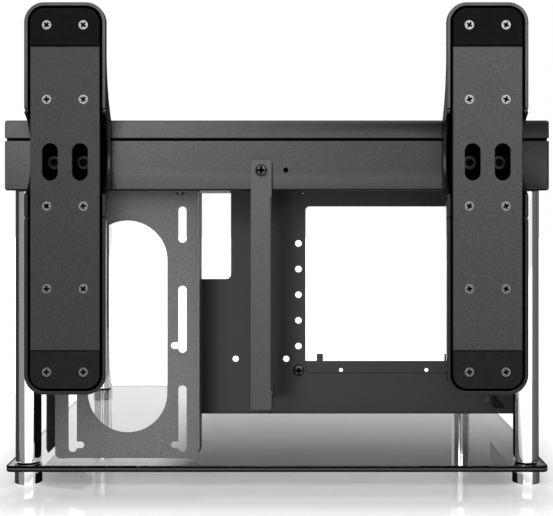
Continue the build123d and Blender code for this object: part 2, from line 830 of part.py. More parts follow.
def corner_nut():
    """Hexagon nut on a short bolt through the tray."""
    start = (nut_x, tray_front, nut_z)
    bolt = rod((nut_x, tray_back, nut_z), OUTWARD, nut_bolt_radius, sheet + nut_length + nut_bolt_tail)
    return hexagon(start, OUTWARD, nut_across, nut_length) + bolt


def write(name, shape):
    """Write one node, a single solid or a group of separate ones."""
    shape = Compound(children=shape) if isinstance(shape, list) else shape
    shape.label = name
    export_step(shape, f"parts/{name}.step")


def main():
    """Build every node of the bench."""
    os.makedirs("parts", exist_ok=True)
    write("base_glass", base_glass())
    for place, (x, y) in pillar_spots.items():
        write(f"pillar_{place}", pillar(x, y))
        write(f"foot_{place}", foot(x, y))
    write("glass_washers", glass_washers())
    write("foot_studs", foot_studs())
    write("pillar_screws", pillar_screws())
    write("housing_pan", housing_pan())
    write("housing_cover", housing_cover())
    write("cover_screws", cover_screws())
    for name, x in (("left", -leg_x), ("right", leg_x)):
        write(f"leg_body_{name}", leg_body(x))
        write(f"leg_plate_{name}", leg_plate(x))
        write(f"leg_pad_upper_{name}", leg_pad(x, True))
        write(f"leg_pad_lower_{name}", leg_pad(x, False))
    write("leg_plate_screws", leg_screws(leg_screw_levels()))
    write("leg_pad_screws", leg_screws(pad_levels()))
    write("leg_bolts", leg_bolts())
    write("leg_nuts", leg_nuts())
    write("fan_bracket", fan_bracket())
    write("board_tray", board_tray())
    write("hanger_screws", hanger_screws())
    write("support_rail", support_rail())
    write("rail_screws", pan_screws([(x, tray_front, rail_screw_z) for x in rail_screw_x()]))
    write("board_standoffs", board_standoffs())
    write("brace_strap", brace_strap())
    strap_spots = [
        (strap_x, strap_front, strap_screw_z),
        (strap_x, tray_front - strap_sheet, strap_bottom + strap_tab / 2),
    ]
    write("strap_screws", pan_screws(strap_spots))
    write("corner_gusset", corner_gusset())
    write("corner_nut", corner_nut())


main()
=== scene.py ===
"""Looks of the open air test bench: finishes, turned pieces, fasteners and a plain studio."""

import json
import logging
import math
from dataclasses import dataclass
from enum import Enum

import bmesh
import bpy
import numpy as np
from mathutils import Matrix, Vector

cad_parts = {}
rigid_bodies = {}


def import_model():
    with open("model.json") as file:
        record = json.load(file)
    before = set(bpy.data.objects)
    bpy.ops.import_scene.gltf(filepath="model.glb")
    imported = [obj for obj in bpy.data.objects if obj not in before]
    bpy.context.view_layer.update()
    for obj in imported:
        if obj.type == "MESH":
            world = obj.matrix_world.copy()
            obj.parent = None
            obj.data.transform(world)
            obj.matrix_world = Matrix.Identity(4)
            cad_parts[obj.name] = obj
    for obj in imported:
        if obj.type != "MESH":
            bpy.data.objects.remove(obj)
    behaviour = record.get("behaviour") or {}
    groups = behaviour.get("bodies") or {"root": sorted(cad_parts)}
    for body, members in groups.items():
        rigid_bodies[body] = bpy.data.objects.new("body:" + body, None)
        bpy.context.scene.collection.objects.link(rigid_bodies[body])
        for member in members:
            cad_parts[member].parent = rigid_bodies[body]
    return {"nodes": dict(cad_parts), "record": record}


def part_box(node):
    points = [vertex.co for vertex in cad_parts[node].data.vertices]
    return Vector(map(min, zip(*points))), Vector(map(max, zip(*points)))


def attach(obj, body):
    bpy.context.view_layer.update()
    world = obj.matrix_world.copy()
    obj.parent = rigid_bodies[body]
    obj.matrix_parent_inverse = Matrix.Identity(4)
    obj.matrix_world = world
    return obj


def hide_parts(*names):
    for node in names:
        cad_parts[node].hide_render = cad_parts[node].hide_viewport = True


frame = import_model()

LOG = logging.getLogger("bench")
MM = 0.001
BODY = "root"
PILLAR_PLACES = ("front_left", "front_right", "back_left", "back_right")
SIDES = ("left", "right")
HOUSING = ("housing_pan", "housing_cover")
TRAY = ("board_tray", "support_rail")
# Attribute that paints shade on a piece, from 0 to 1, where 1 is black.
SHADE = "shade"
CLOUD_RANGE = (0.3, 0.7)
# Black of painted shade, in deep places and at the glass's arrises.
PAINTED_SHADE_BLACK = (0.001, 0.001, 0.001, 1)
GOLDEN_TURN = 2.399963
CAMERA_SPOT = (0.0149, -1.1155, 0.267)


class Drive(Enum):
    """Shape of the recess in a screw's head."""

    CROSS = "cross"
    HEXAGON = "hexagon"


class Head(Enum):
    """Outline of a screw's head."""

    COUNTERSUNK = "countersunk"
    PAN = "pan"
    CAP = "cap"


class Nodes:
    """Short way to add shader nodes and link them."""

    def __init__(self, material: bpy.types.Material) -> None:
        """Empty the material's tree and give it an output and a principled shader.

        Args:
            material: Material to build in.
        """
        material.use_nodes = True
        self.tree = material.node_tree
        self.tree.nodes.clear()
        self.output = self.tree.nodes.new("ShaderNodeOutputMaterial")
        self.shader = self.tree.nodes.new("ShaderNodeBsdfPrincipled")
        self.link(self.shader.outputs[0], self.output.inputs["Surface"])
        self.place = self.add("ShaderNodeTexCoord").outputs["Object"]

    def add(self, kind: str, **settings: object) -> bpy.types.Node:
        """Add a node and set its properties.

        Args:
            kind: Blender's name of the node type.
            settings: Properties of the node by name.

        Returns:
            The new node.
        """
        node = self.tree.nodes.new(kind)
        for name, value in settings.items():
            setattr(node, name, value)
        return node

    def link(self, source: bpy.types.NodeSocket, target: bpy.types.NodeSocket) -> None:
        """Join two sockets."""
        self.tree.links.new(source, target)

    def set(self, **values: object) -> None:
        """Set constants on the principled shader, by socket name with underscores for spaces."""
        for name, value in values.items():
            self.shader.inputs[name.replace("_", " ")].default_value = value

    def noise(self, size: float, detail: float = 2.0, stretch: tuple = (1, 1, 1)) -> bpy.types.NodeSocket:
        """Cloudy pattern from 0 to 1.

        Args:
            size: Width of one cloud in metres.
            detail: Number of finer layers.
            stretch: Factors by which the pattern is squeezed along each axis.

        Returns:
            The pattern's value socket.
        """
        mapping = self.add("ShaderNodeMapping")
        mapping.inputs["Scale"].default_value = stretch
        self.link(self.place, mapping.inputs["Vector"])
        cloud = self.add("ShaderNodeTexNoise")
        cloud.inputs["Scale"].default_value = 1 / size
        cloud.inputs["Detail"].default_value = detail
        self.link(mapping.outputs[0], cloud.inputs["Vector"])
        return cloud.outputs["Fac"]

    def grains(self, size: float) -> bpy.types.NodeSocket:
        """Rounded grains, as a height from 0 to 1.

        Args:
            size: Width of one grain in metres.

        Returns:
            The height's socket.
        """
        cells = self.add("ShaderNodeTexVoronoi", feature="SMOOTH_F1")
        cells.inputs["Scale"].default_value = 1 / size
        cells.inputs["Smoothness"].default_value = 0.6
        self.link(self.place, cells.inputs["Vector"])
        return cells.outputs["Distance"]

    def remap(self, value: bpy.types.NodeSocket, before: tuple, after: tuple) -> bpy.types.NodeSocket:
        """Map a value in a straight line from one range to another, and hold it at the ends.

        Args:
            value: The value's socket.
            before: The two values that are mapped.
            after: What they become.

        Returns:
            The new value's socket.
        """
        node = self.add("ShaderNodeMapRange")
        for name, number in zip(("From Min", "From Max", "To Min", "To Max"), (*before, *after)):
            node.inputs[name].default_value = number
        self.link(value, node.inputs["Value"])
        return node.outputs[0]

    def vary(self, pattern: bpy.types.NodeSocket, low: float, high: float) -> None:
        """Let the roughness follow a cloudy pattern between two values."""
        self.link(self.remap(pattern, CLOUD_RANGE, (low, high)), self.shader.inputs["Roughness"])

    def blend(self, share: bpy.types.NodeSocket, first: object, second: object,
              colour: bool = False) -> bpy.types.NodeSocket:
        """Mix two numbers or colours, each a socket or a constant.

        Args:
            share: Share of the second one, from 0 to 1.
            first: What is there where the share is 0.
            second: What is there where the share is 1.
            colour: Whether they are colours.

        Returns:
            The mix's socket.
        """
        node = self.add("ShaderNodeMix", data_type="RGBA" if colour else "FLOAT")
        self.link(share, node.inputs[0])
        for socket, value in zip(node.inputs[6:8] if colour else node.inputs[2:4], (first, second)):
            if isinstance(value, bpy.types.NodeSocket):
                self.link(value, socket)
            else:
                socket.default_value = value
        return node.outputs[2 if colour else 0]

    def deep(self) -> bpy.types.NodeSocket:
        """The piece's painted shade, from its own attribute: 1 deep in a recess or a gap, and 0 where it is
        unset.
        """
        return self.add("ShaderNodeAttribute", attribute_name=SHADE).outputs["Fac"]

    def shade(self, value: bpy.types.NodeSocket, dark: tuple, light: tuple, specular: float = 0.5) -> None:
        """Blend the base colour by a pattern, and fade it and the gloss to black where shade is painted in
        deep places.

        Args:
            value: The pattern's socket.
            dark: Colour where the pattern is low.
            light: Colour where the pattern is high.
            specular: Specular level outside the painted shade, also set on the socket itself.
        """
        ramp = self.add("ShaderNodeValToRGB")
        for element, position, colour in zip(ramp.color_ramp.elements, CLOUD_RANGE, (dark, light)):
            element.position = position
            element.color = (*colour, 1)
        self.link(value, ramp.inputs[0])
        # Painted shade: the piece's attribute fades colour and gloss to black.
        deep = self.deep()
        self.link(self.blend(deep, ramp.outputs[0], PAINTED_SHADE_BLACK, colour=True), self.shader.inputs["Base Color"])
        self.set(Specular_IOR_Level=specular)
        self.link(self.remap(deep, (0, 1), (specular, 0)), self.shader.inputs["Specular IOR Level"])

    def bump(self, height: bpy.types.NodeSocket, depth: float, strength: float) -> None:
        """Raise the surface by a pattern, on top of any bump set before.

        Args:
            height: The pattern's socket.
            depth: Height of the pattern's peaks in metres.
            strength: Share of the bump that is used.
        """
        node = self.add("ShaderNodeBump")
        node.inputs["Strength"].default_value = strength
        node.inputs["Distance"].default_value = depth
        self.link(height, node.inputs["Height"])
        before = self.shader.inputs["Normal"].links
        if before:
            self.link(before[0].from_socket, node.inputs["Normal"])
        self.link(node.outputs[0], self.shader.inputs["Normal"])


@dataclass(frozen=True)
class Paint:
    """Powder or wet paint on metal, with sand grains of a chosen size."""

    name: str
    grey: float
    spread: float
    roughness: float
    grain: float
    grain_depth: float
    specular: float
    cloud: float = 14 * MM
    wave: float = 9 * MM
    wave_depth: float = 0.05 * MM

    def material(self) -> bpy.types.Material:
        """Grey that varies a little in clouds and from grain to grain, with grains and waves as bump.

        Returns:
            The new material.
        """
        result = bpy.data.materials.new(self.name)
        nodes = Nodes(result)
        dark = (self.grey * (1 - self.spread),) * 3
        light = (self.grey * (1 + self.spread),) * 3
        nodes.shade(nodes.noise(self.grain * 1.3, 3), dark, light, self.specular)
        nodes.vary(nodes.noise(self.cloud), self.roughness - 0.05, self.roughness + 0.05)
        nodes.bump(nodes.grains(self.grain), self.grain_depth, 0.5)
        nodes.bump(nodes.noise(self.wave, 1), self.wave_depth, 0.2)
        return result


@dataclass(frozen=True)
class Metal:
    """Bare or plated metal with fine marks, drawn out along one axis or even."""

    name: str
    colour: tuple
    roughness: float
    mark: float
    mark_depth: float
    stretch: tuple

    def material(self) -> bpy.types.Material:
        """Metal whose colour, roughness and height vary in fine marks.

        Returns:
            The new material.
        """
        result = bpy.data.materials.new(self.name)
        nodes = Nodes(result)
        marks = nodes.noise(self.mark, 3, self.stretch)
        nodes.shade(marks, tuple(part * 0.94 for part in self.colour), self.colour)
        nodes.set(Metallic=1.0)
        nodes.vary(marks, self.roughness * 0.8, self.roughness * 1.2)
        nodes.bump(marks, self.mark_depth, 0.3)
        return result


@dataclass(frozen=True)
class Rubber:
    """Matt black rubber with a fine moulded skin."""

    name: str
    grey: float
    roughness: float
    specular: float
    cloud: float = 3 * MM
    gloss_cloud: float = 5 * MM
    grain: float = 0.5 * MM
    grain_depth: float = 0.03 * MM

    def material(self) -> bpy.types.Material:
        """Dark grey that varies in small clouds, with a very fine grain as bump.

        Returns:
            The new material.
        """
        result = bpy.data.materials.new(self.name)
        nodes = Nodes(result)
        dark, light = ((self.grey * factor,) * 3 for factor in (0.85, 1.15))
        nodes.shade(nodes.noise(self.cloud, 2), dark, light, self.specular)
        nodes.vary(nodes.noise(self.gloss_cloud), self.roughness - 0.06, self.roughness + 0.04)
        nodes.bump(nodes.grains(self.grain), self.grain_depth, 0.4)
        return result


@dataclass(frozen=True)
class TintedGlass:
    """Clear polished glass with a grey tint and ground edges."""

    name: str
    tint: tuple
    roughness: float
    bottom: float
    thickness: float
    painted_band_grey: tuple = (0.11, 0.11, 0.115, 1)
    cloud: float = 30 * MM

    def material(self) -> bpy.types.Material:
        """Transmitting shader with a faint roughness pattern, and opaque ground edges with painted shade and
        highlight.

        The attribute is 1 on the edge faces. There the glass lets no light
        through, and its grey follows the height in the edge: a painted light
        band between two arrises painted dark as shade.

        Returns:
            The new material.
        """
        result = bpy.data.materials.new(self.name)
        nodes = Nodes(result)
        nodes.set(IOR=1.45, Specular_IOR_Level=0.015)
        nodes.vary(nodes.noise(self.cloud), self.roughness * 0.5, self.roughness * 1.5)
        edge = nodes.deep()
        nodes.link(nodes.remap(edge, (0, 1), (1, 0)), nodes.shader.inputs["Transmission Weight"])
        height = nodes.add("ShaderNodeSeparateXYZ")
        nodes.link(nodes.place, height.inputs[0])
        share = nodes.remap(height.outputs["Z"], (self.bottom, self.bottom + self.thickness), (0, 1))
        # Painted highlight and shade on the edge: black at both arrises, a grey band between.
        band = nodes.add("ShaderNodeValToRGB")
        for element, position in zip(band.color_ramp.elements, (0.3, 0.68)):
            element.position = position
            element.color = PAINTED_SHADE_BLACK
        for position in (0.38, 0.58):
            band.color_ramp.elements.new(position).color = self.painted_band_grey
        nodes.link(share, band.inputs[0])
        colour = nodes.blend(edge, (*self.tint, 1), band.outputs[0], colour=True)
        nodes.link(colour, nodes.shader.inputs["Base Color"])
        return result


EVEN = (1, 1, 1)
UPRIGHT = (1, 1, 0.03)
FINISHES = {
    "tinted_glass": TintedGlass("tinted_glass_finish", tint=(0.45, 0.455, 0.455), roughness=0.02,
                                bottom=13.6 * MM, thickness=6.0 * MM),
    "chrome": Metal("chrome_finish", colour=(0.86, 0.86, 0.85), roughness=0.06, mark=0.5 * MM,
                    mark_depth=0.001 * MM, stretch=UPRIGHT),
    "rubber": Rubber("rubber_finish", grey=0.0085, roughness=0.55, specular=0.01),
    "textured_paint": Paint("textured_paint_finish", grey=0.056, spread=0.22, roughness=0.52, grain=0.8 * MM,
                            grain_depth=0.12 * MM, specular=0.08),
    "leg_paint": Paint("leg_paint_finish", grey=0.004, spread=0.2, roughness=0.26, grain=0.6 * MM,
                       grain_depth=0.02 * MM, specular=0.22),
    "smooth_paint": Paint("smooth_paint_finish", grey=0.02, spread=0.12, roughness=0.42, grain=0.7 * MM,
                          grain_depth=0.03 * MM, specular=0.08),
    "bright_steel": Metal("bright_steel_finish", colour=(0.1, 0.1, 0.1), roughness=0.38, mark=0.6 * MM,
                          mark_depth=0.01 * MM, stretch=EVEN),
    "dark_steel": Metal("dark_steel_finish", colour=(0.04, 0.04, 0.042), roughness=0.34, mark=0.6 * MM,
                        mark_depth=0.01 * MM, stretch=EVEN),
    "brass": Metal("brass_finish", colour=(0.76, 0.56, 0.27), roughness=0.24, mark=0.5 * MM,
                   mark_depth=0.006 * MM, stretch=(1, 0.05, 1)),
}
MATERIALS: dict = {}


def finish(slot: str) -> bpy.types.Material:
    """Material of a slot, made on its first use.

    Args:
        slot: Name of the material slot.

    Returns:
        The material, the same one at each call.
    """
    if slot not in MATERIALS:
        MATERIALS[slot] = FINISHES[slot].material()
    return MATERIALS[slot]


def slot_of(node: str) -> str:
    """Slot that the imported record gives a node."""
    return next(entry["material_slot"] for entry in frame["record"]["subparts"] if entry["node"] == node)


def dress(node: str) -> None:
    """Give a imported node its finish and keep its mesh.

    Args:
        node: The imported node.
    """
    mesh = frame["nodes"][node].data
    mesh.materials.clear()
    mesh.materials.append(finish(slot_of(node)))
    LOG.info("dressed %s", node)


def add_piece(name: str, mesh: bpy.types.Mesh, node: str) -> bpy.types.Object:
    """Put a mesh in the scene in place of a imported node.

    Args:
        name: Name of the new piece.
        mesh: Its mesh, in the shared frame.
        node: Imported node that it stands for.

    Returns:
        The new object.
    """
    piece = bpy.data.objects.new(name, mesh)
    bpy.context.scene.collection.objects.link(piece)
    mesh.materials.clear()
    mesh.materials.append(finish(slot_of(node)))
    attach(piece, BODY)
    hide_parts(node)
    LOG.info("piece %s for %s, %d faces", name, node, len(mesh.polygons))
    return piece


def merged_mesh(node: str) -> bmesh.types.BMesh:
    """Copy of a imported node's mesh with its loose triangles joined.

    Args:
        node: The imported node.

    Returns:
        The copy, which the caller frees.
    """
    copy = bmesh.new()
    copy.from_mesh(frame["nodes"][node].data)
    bmesh.ops.remove_doubles(copy, verts=copy.verts, dist=1e-6)
    return copy


def islands(node: str) -> list:
    """Boxes of the separate solids in a node.

    Args:
        node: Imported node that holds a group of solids.

    Returns:
        One pair of arrays, lowest and highest corner, for each solid, ordered by place.
    """
    copy = merged_mesh(node)
    seen: set = set()
    boxes = []
    for start in copy.verts:
        if start in seen:
            continue
        group = [start]
        seen.add(start)
        for vert in group:
            for edge in vert.link_edges:
                other = edge.other_vert(vert)
                if other not in seen:
                    seen.add(other)
                    group.append(other)
        places = np.array([vert.co[:] for vert in group])
        boxes.append((places.min(0), places.max(0)))
    copy.free()
    return sorted(boxes, key=lambda box: tuple(np.round(box[0], 5)))


def set_shade(mesh: bpy.types.Mesh, values: np.ndarray, domain: str = "FACE") -> None:
    """Give a mesh the attribute that paints shade in deep places.

    Args:
        mesh: The mesh.
        values: One value from 0 to 1 for each point or face.
        domain: Blender's name of what the values belong to.
    """
    attribute = mesh.attributes.new(SHADE, "FLOAT", domain)
    attribute.data.foreach_set("value", np.ascontiguousarray(values, dtype=np.float32))


def face_values(mesh: bpy.types.Mesh, name: str) -> np.ndarray:
    """Numbers that Blender keeps for each face of a mesh.

    Args:
        mesh: The mesh.
        name: What to read: center, normal or area.

    Returns:
        Array with one row for each face, of three numbers or of one.
    """
    width = 1 if name == "area" else 3
    values = np.empty(width * len(mesh.polygons), dtype=np.float32)
    mesh.polygons.foreach_get(name, values)
    return values.reshape(-1, width)


def mark_edges(mesh: bmesh.types.BMesh, corner: float) -> None:
    """Shade a mesh smooth, but for the edges that are open or sharper than an angle.

    Args:
        mesh: Mesh to shade.
        corner: Angle between two faces, in degrees, from which their edge stays sharp.
    """
    for face in mesh.faces:
        face.smooth = True
    for edge in mesh.edges:
        edge.smooth = len(edge.link_faces) == 2 and edge.calc_face_angle(0) < math.radians(corner)


def eased_copy(node: str, width: float) -> bpy.types.Object:
    """Copy of a node whose sharp edges are eased, as deburred and painted edges are.

    Args:
        node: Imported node.
        width: Width of the eased edge in metres.

    Returns:
        The new piece, with a live bevel of fixed width.
    """
    corner = 30.0
    flat = math.radians(0.3)
    copy = merged_mesh(node)
    bmesh.ops.dissolve_limit(copy, angle_limit=flat, verts=copy.verts, edges=copy.edges)
    mark_edges(copy, corner)
    mesh = bpy.data.meshes.new(f"{node}_eased")
    copy.to_mesh(mesh)
    copy.free()
    piece = add_piece(f"{node}_eased", mesh, node)
    bevel = piece.modifiers.new("eased_edges", "BEVEL")
    bevel.width = width
    bevel.segments = 2
    bevel.limit_method = "ANGLE"
    bevel.angle_limit = math.radians(corner)
    bevel.use_clamp_overlap = False
    bevel.harden_normals = True
    return piece


def grid_mesh(name: str, points: np.ndarray, deep: np.ndarray | None = None) -> bpy.types.Mesh:
    """Mesh of one or more surfaces, each a grid that closes round its second direction.

    Each grid has rows along a profile and columns round an axis. Its first
    and last rows are single points, so both poles are closed by triangles
    that share one vertex after merging.

    Args:
        name: Name of the mesh.
        points: Array of shape (pieces, rows, columns, 3).
        deep: Painted shade at each point, from 0 to 1, as deep in a recess, or nothing.

    Returns:
        The closed mesh.
    """
    pieces, rows, columns, _ = points.shape
    row, column = np.meshgrid(np.arange(rows - 1), np.arange(columns), indexing="ij")
    following = (column + 1) % columns
    quads = np.stack([row * columns + column, row * columns + following,
                      (row + 1) * columns + following, (row + 1) * columns + column], axis=-1).reshape(-1, 4)
    shift = (np.arange(pieces) * rows * columns)[:, None, None]
    faces = (quads[None] + shift).reshape(-1, 4)
    mesh = bpy.data.meshes.new(name)
    mesh.from_pydata(points.reshape(-1, 3).tolist(), [], faces.tolist())
    if deep is not None:
        set_shade(mesh, deep.reshape(-1), "POINT")
    work = bmesh.new()
    work.from_mesh(mesh)
    bmesh.ops.remove_doubles(work, verts=work.verts, dist=1e-7)
    bmesh.ops.recalc_face_normals(work, faces=work.faces)
    mark_edges(work, 40.0)
    work.to_mesh(mesh)
    work.free()
    return mesh


def rounded_profile(corners: list, radius: float, steps: int) -> np.ndarray:
    """Profile through corners in a plane, with each inner corner rounded by a quadratic curve.

    Each inner corner is replaced by points of the curve that leaves the
    incoming side one radius before the corner and joins the outgoing side
    one radius after it.

    Args:
        corners: Pairs of numbers, along and across the axis of turning.
        radius: Distance from a corner at which the curve starts, in metres.
        steps: Number of spans on each curve.

    Returns:
        Array of shape (points, 2).
    """
    knots = np.array(corners, float)
    parts = [knots[:1]]
    part = np.linspace(0, 1, steps + 1)[:, None]
    for before, knot, after in zip(knots[:-2], knots[1:-1], knots[2:]):
        into = before - knot
        out = after - knot
        start = knot + into * min(0.45, radius / np.linalg.norm(into))
        end = knot + out * min(0.45, radius / np.linalg.norm(out))
        parts.append((1 - part) ** 2 * start + 2 * part * (1 - part) * knot + part**2 * end)
    parts.append(knots[-1:])
    return np.concatenate(parts)


def ring_round(axis: np.ndarray, columns: int) -> tuple:
    """Unit vectors round an axis: cos(angle) times one side plus sin(angle) times the other.

    Args:
        axis: Unit vector along the axis, square to X.
        columns: Number of vectors.

    Returns:
        Array of the angles, and array (columns, 3) of the vectors.
    """
    angle = np.linspace(0, 2 * np.pi, columns, endpoint=False)
    side = np.array([1.0, 0.0, 0.0])
    up = np.cross(axis, side)
    return angle, np.cos(angle)[:, None] * side + np.sin(angle)[:, None] * up


def turned(profile: np.ndarray, spots: np.ndarray, axis: np.ndarray, columns: int) -> np.ndarray:
    """Surfaces of revolution: each profile point goes round the axis at its own radius.

    Args:
        profile: Array (rows, 2) of distance along the axis and radius.
        spots: Array (pieces, 3) of the points where the axis starts.
        axis: Unit vector along the axis.
        columns: Number of points round the axis.

    Returns:
        Array of shape (pieces, rows, columns, 3).
    """
    ring = ring_round(axis, columns)[1]
    body = profile[:, None, 0, None] * axis + profile[:, None, 1, None] * ring[None]
    return spots[:, None, None, :] + body[None]


@dataclass
class Screw:
    """Screw with a driver recess and a threaded shank, as one closed surface.

    The recess's sizes are shares of the head's radius.
    """

    FACE_ROWS = 26
    FIRST_THREAD_ROW = 30
    COLUMNS = 72

    head: Head
    drive: Drive
    head_radius: float
    head_height: float
    shank_radius: float
    length: float
    pitch: float = 0.7 * MM
    edge: float = 0.25 * MM
    cross_half: float = 0.19
    cross_reach: float = 0.6
    hexagon_half: float = 0.5
    wall_slope: float = 0.05

    def recess(self, radius: np.ndarray, angle: np.ndarray) -> np.ndarray:
        """Depth of the driver recess at places on the head.

        The cross is two crossed bars whose walls slope in, deeper towards the
        middle. The hexagon is a flat floor inside six sides.

        Args:
            radius: Distances from the head's middle.
            angle: Directions from the head's middle, in radians.

        Returns:
            The depths, in metres.
        """
        slope = self.wall_slope * self.head_radius
        if self.drive is Drive.HEXAGON:
            turn = (angle + np.pi / 6) % (np.pi / 3) - np.pi / 6
            wall = np.clip((self.hexagon_half * self.head_radius - radius * np.cos(turn)) / slope, 0, 1)
            return 0.5 * self.head_height * wall
        x = np.abs(radius * np.cos(angle))
        y = np.abs(radius * np.sin(angle))
        half = self.cross_half * self.head_radius
        reach = self.cross_reach * self.head_radius
        bars = [np.clip((half - across) / slope, 0, 1) * np.clip((reach - along) / slope, 0, 1)
                for across, along in ((x, y), (y, x))]
        middle = np.clip(1 - radius / (1.1 * reach), 0, 1)
        depth = (0.45 + 0.55 * middle) * min(self.head_height, reach)
        return depth * np.maximum(*bars)

    def corners(self) -> list:
        """Corners of the head's side.

        Returns:
            Pairs of distance along the axis and radius, from the face to the shank.
        """
        head = self.head_radius
        top = -self.head_height
        if self.head is Head.COUNTERSUNK:
            return [(0, head - self.edge), (0.1 * MM, head), (head - self.shank_radius, self.shank_radius)]
        if self.head is Head.PAN:
            return [(top, 0.6 * head), (0.7 * top, 0.9 * head), (0.3 * top, head), (0, head),
                    (0, self.shank_radius)]
        return [(top, head - 2 * self.edge), (top + 2 * self.edge, head), (0, head), (0, self.shank_radius)]

    def profile(self) -> np.ndarray:
        """Outline from the head's middle to the shank's tip: face, rounded side, shank and tip.

        Returns:
            Array (rows, 2) of distance along the axis and radius.
        """
        corners = self.corners()
        across = np.linspace(0, corners[0][1], self.FACE_ROWS)
        face = np.stack([np.full_like(across, corners[0][0]), across], axis=1)
        side = rounded_profile([face[-1]] + corners[1:], self.edge, 3)[1:]
        rows = max(8, int((self.length - side[-1, 0]) / self.pitch * 6))
        along = np.linspace(side[-1, 0] + 0.05 * MM, self.length - 0.4 * MM, rows)
        shank = np.stack([along, np.full_like(along, self.shank_radius)], axis=1)
        tip = np.array([[self.length, self.shank_radius * 0.75], [self.length, 0.0]])
        return np.concatenate([face, side, shank, tip])

    def surface(self, spots: np.ndarray, axis: np.ndarray, turns: np.ndarray) -> tuple:
        """Grids of all screws: the turned profile, less the recess and the thread's groove.

        The groove's depth is a triangle wave of the distance along the axis
        over the pitch, less the share of the turn.

        Args:
            spots: Array (pieces, 3) of the places of the heads' undersides or faces.
            axis: Unit vector from the head into the hole.
            turns: How far each screw's recess is turned, in radians.

        Returns:
            Array of points, of shape (pieces, rows, columns, 3), and how deep
            in the recess each one is, from 0 to 1, which paints shade there.
        """
        profile = self.profile()
        angle, ring = ring_round(axis, self.COLUMNS)
        row = np.arange(len(profile))[None, :, None]
        along = np.repeat(profile[:, :1], self.COLUMNS, axis=1)[None].repeat(len(spots), 0)
        radius = np.repeat(profile[:, 1:], self.COLUMNS, axis=1)[None].repeat(len(spots), 0)
        spin = angle[None, None, :] + turns[:, None, None]
        cut = np.where(row < self.FACE_ROWS, self.recess(radius, spin), 0)
        along = along + cut
        threaded = np.isclose(radius, self.shank_radius) & (row >= self.FIRST_THREAD_ROW)
        wave = np.abs(((along / self.pitch - angle[None, None, :] / (2 * np.pi)) % 1) * 2 - 1)
        radius = radius - np.where(threaded, wave * 0.35 * self.pitch, 0)
        points = spots[:, None, None, :] + along[..., None] * axis + radius[..., None] * ring[None, None]
        # Painted shade in the recess: full black from a depth of 8% of the head's radius.
        return points, np.clip(cut / (0.08 * self.head_radius), 0, 1)


def screw_group(node: str, screw: Screw, axis: tuple, shade: float = 0.0) -> None:
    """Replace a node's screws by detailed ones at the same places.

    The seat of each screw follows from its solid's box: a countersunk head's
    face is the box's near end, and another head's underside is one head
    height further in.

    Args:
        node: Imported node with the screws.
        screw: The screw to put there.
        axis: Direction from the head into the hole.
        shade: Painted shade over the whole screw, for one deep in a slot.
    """
    direction = np.array(axis, float)
    along = int(np.argmax(np.abs(direction)))
    spots = []
    for low, high in islands(node):
        place = (low + high) / 2
        near = low[along] if direction[along] > 0 else high[along]
        lift = 0 if screw.head is Head.COUNTERSUNK else screw.head_height
        place[along] = near + direction[along] * lift
        spots.append(place)
    turns = (np.arange(len(spots)) * GOLDEN_TURN) % (2 * np.pi)
    points, deep = screw.surface(np.array(spots), direction, turns)
    mesh = grid_mesh(f"{node}_detailed", points, deep=np.maximum(deep, shade))
    add_piece(f"{node}_detailed", mesh, node)


@dataclass
class GlassBase:
    """Tinted glass with its rubber washers and the studs that pass it."""

    glass_edge: float = 0.15 * MM
    washer_edge: float = 0.2 * MM
    outer_share: float = 0.95

    def build(self) -> None:
        """Ease the glass, mark its outer edge faces, and dress the washers and studs."""
        glass = eased_copy("base_glass", self.glass_edge)
        low, high = (np.array(corner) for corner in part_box("base_glass"))
        apart = np.abs(face_values(glass.data, "center") - (low + high) / 2) / ((high - low) / 2)
        upright = np.abs(face_values(glass.data, "normal")[:, 2]) < 0.5
        # The outer edge faces get the attribute: opaque, with painted shade and highlight.
        set_shade(glass.data, upright & (apart[:, :2].max(1) > self.outer_share))
        eased_copy("glass_washers", self.washer_edge)
        dress("foot_studs")


@dataclass
class Pillars:
    """Chrome pillars and feet, turned with small rounded edges."""

    edge: float = 0.7 * MM
    columns: int = 128

    def build(self) -> None:
        """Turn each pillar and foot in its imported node's box."""
        for place in PILLAR_PLACES:
            for kind in ("pillar", "foot"):
                self.turn(f"{kind}_{place}")

    def turn(self, node: str) -> None:
        """Turn one piece: flat end, rounded edge, straight side, rounded edge, flat end.

        Args:
            node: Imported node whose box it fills.
        """
        low, high = (np.array(corner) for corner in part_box(node))
        radius = (high[0] - low[0]) / 2
        height = high[2] - low[2]
        profile = rounded_profile([(0, 0), (0, radius), (height, radius), (height, 0)], self.edge, 5)
        spots = np.array([[(low[0] + high[0]) / 2, (low[1] + high[1]) / 2, low[2]]])
        points = turned(profile, spots, np.array([0.0, 0.0, 1.0]), self.columns)
        add_piece(f"{node}_turned", grid_mesh(f"{node}_turned", points), node)


@dataclass
class Housing:
    """Pan and cover with eased folds, and what holds the cover."""

    edge: float = 0.3 * MM
    gap_bottom: float = 321.7 * MM
    under_shade: float = 0.9

    def build(self) -> None:
        """Ease the sheets, paint shade in the gap under the cover and on the wall's lower bend, and set the
        screws.
        """
        pan = eased_copy("housing_pan", self.edge)
        eased_copy("housing_cover", self.edge)
        # Painted shade: black in the gap under the cover, and dark on the wall's lower bend.
        gap_painted_shade = face_values(pan.data, "center")[:, 2] > self.gap_bottom
        slope = face_values(pan.data, "normal")[:, 2]
        lower_bend_shade_mask = (slope < -0.5) & (slope > -0.99)
        set_shade(pan.data, np.maximum(gap_painted_shade, lower_bend_shade_mask * self.under_shade))
        cover_screw = Screw(Head.COUNTERSUNK, Drive.CROSS, 3.0 * MM, 1.5 * MM, 1.5 * MM, 5.5 * MM, 0.5 * MM)
        screw_group("cover_screws", cover_screw, (0, 0, -1))
        pillar_screw = Screw(Head.PAN, Drive.CROSS, 5.7 * MM, 3.0 * MM, 3.0 * MM, 19.5 * MM, 1.0 * MM)
        screw_group("pillar_screws", pillar_screw, (0, 0, -1))


